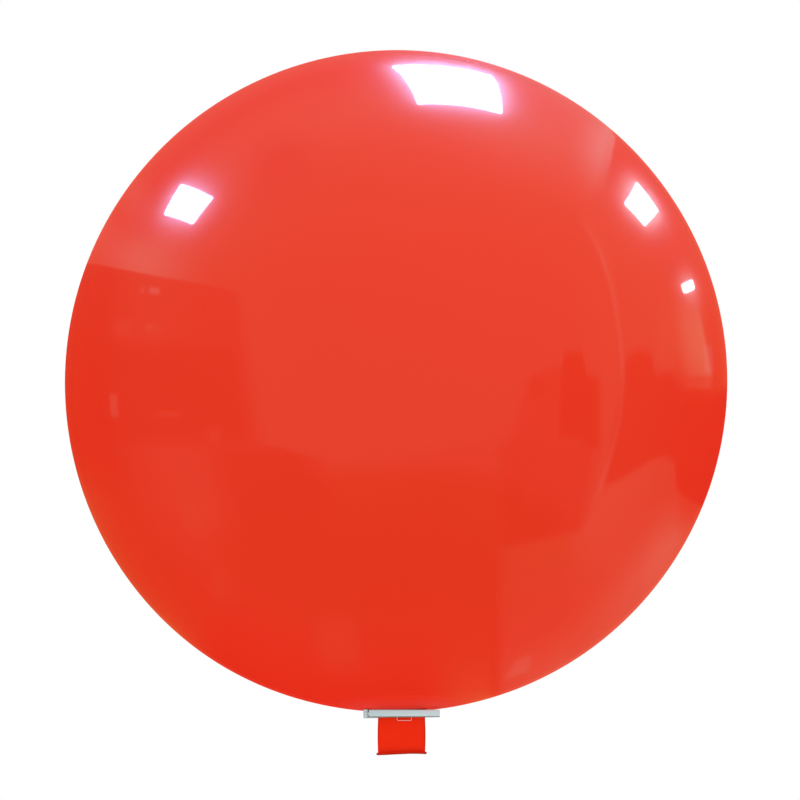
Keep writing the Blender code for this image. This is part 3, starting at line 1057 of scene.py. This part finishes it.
def moulded_piece(node, body, material, edge):
    """The CAD shape of a node, with its hard edges softened as in a moulding."""
    bm = bmesh.new()
    bm.from_mesh(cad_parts[node].data)
    bmesh.ops.remove_doubles(bm, verts=bm.verts, dist=0.002 * MM)
    bmesh.ops.dissolve_limit(bm, angle_limit=math.radians(1), verts=bm.verts, edges=bm.edges)
    hard = [e for e in bm.edges if len(e.link_faces) == 2 and e.calc_face_angle() > math.radians(30)]
    bmesh.ops.bevel(
        bm,
        geom=hard,
        offset=edge,
        offset_type="OFFSET",
        segments=3,
        profile=0.5,
        affect="EDGES",
        clamp_overlap=True,
    )
    for vertex in bm.verts:
        vertex.co.z = clip_height(*vertex.co)
    mesh = bpy.data.meshes.new(f"{node}_moulded")
    bm.to_mesh(mesh)
    bm.free()
    mesh.shade_smooth()
    mesh.set_sharp_from_angle(angle=math.radians(40))
    # Painted shade on the undercuts and beside the hinge gap.
    shade = mesh.attributes.new("undercut_painted_shade", "FLOAT", "FACE")
    shade.data.foreach_set("value", [undercut_shade(face, HINGE_GAP_X) for face in mesh.polygons])
    mesh.materials.append(material)
    return place_piece(f"{node}_moulded", mesh, node, body)


def place_piece(name, mesh, node, body):
    piece = bpy.data.objects.new(name, mesh)
    bpy.context.scene.collection.objects.link(piece)
    piece.visible_glossy = False
    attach(piece, body)
    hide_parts(node)
    return piece


def loop_path():
    """Down one leg of the loop, round its lower corners and up the other leg."""
    left = loop_low.x + LOOP_HALF_WIDTH
    right = loop_high.x - LOOP_HALF_WIDTH
    bottom = loop_low.z + LOOP_HALF_WIDTH
    path = [Vector((left, loop_high.z))]
    for turn in range(7):
        angle = math.radians(180 + 15 * turn)
        path.append(Vector((
            left + LOOP_CORNER * (1 + math.cos(angle)),
            bottom + LOOP_CORNER * (1 + math.sin(angle)),
        )))
    for turn in range(7):
        angle = math.radians(270 + 15 * turn)
        path.append(Vector((
            right - LOOP_CORNER * (1 - math.cos(angle)),
            bottom + LOOP_CORNER * (1 + math.sin(angle)),
        )))
    path.append(Vector((right, loop_high.z)))
    return path


def make_loop(material):
    """The string loop: an oval wire swept along its path."""
    path = loop_path()
    middle_y = (loop_low.y + loop_high.y) / 2
    half_depth = (loop_high.y - loop_low.y) / 2
    bm = bmesh.new()
    rings = []
    for i, point in enumerate(path):
        ahead = path[min(i + 1, len(path) - 1)] - path[max(i - 1, 0)]
        out = Vector((ahead.y, -ahead.x)).normalized()
        ring = []
        for step in range(LOOP_SIDES):
            angle = 2 * math.pi * step / LOOP_SIDES
            aside = out * (LOOP_HALF_WIDTH * math.cos(angle))
            y = middle_y + half_depth * math.sin(angle)
            ring.append(bm.verts.new((point.x + aside.x, y, point.y + aside.y)))
        rings.append(ring)
    for first, second in zip(rings, rings[1:]):
        for i in range(LOOP_SIDES):
            j = (i + 1) % LOOP_SIDES
            bm.faces.new((first[i], first[j], second[j], second[i]))
    bm.faces.new(rings[0])
    bm.faces.new(list(reversed(rings[-1])))
    bmesh.ops.recalc_face_normals(bm, faces=bm.faces)
    mesh = bpy.data.meshes.new("loop_wire")
    bm.to_mesh(mesh)
    bm.free()
    mesh.shade_smooth()
    mesh.materials.append(material)
    return place_piece("loop_wire", mesh, "tie_loop", "front_jaw")


def make_clip():
    clip = plastic_material("clip_plastic", (0.47, 0.64, 0.67), (0.53, 0.66, 0.68), (0.18, 0.27, 0.255), 0.35)
    # The loop's pink tones are its pale plastic with painted red light from the ball above.
    loop = plastic_material("loop_plastic", (0.84, 0.69, 0.65), (0.88, 0.73, 0.69), (0.4, 0.4, 0.4), 0.35)
    front = moulded_piece("clip_front_jaw", "front_jaw", clip, 0.25 * MM)
    rear = moulded_piece("clip_rear_jaw", "balloon", clip, 0.25 * MM)
    moulded_piece("hinge_pin", "balloon", steel_material(), 0.15 * MM)
    make_loop(loop)
    return front, rear


def make_clip_light(pieces):
    """A low cool light in front, for the clip only, which the red ball above would tint."""
    data = bpy.data.lights.new("clip_fill", "AREA")
    data.shape = "DISK"
    data.size = 1.2
    data.energy = CLIP_FILL
    data.color = (0.53, 1.0, 1.0)
    light = bpy.data.objects.new("clip_fill", data)
    light.location = (0.3, -2.6, -0.9)
    light.rotation_euler = (Vector((0, 0, CLIP_TOP)) - light.location).to_track_quat("-Z", "Y").to_euler()
    light.visible_glossy = False
    bpy.context.scene.collection.objects.link(light)
    lit = bpy.data.collections.new("lit_clip")
    for piece in pieces:
        lit.objects.link(piece)
    light.light_linking.receiver_collection = lit


make_skin(ball_latex(), neck_latex())
make_clip_light(make_clip())
make_room()
make_world()
make_key_light()
make_floor()
bpy.context.scene.view_settings.view_transform = "Standard"
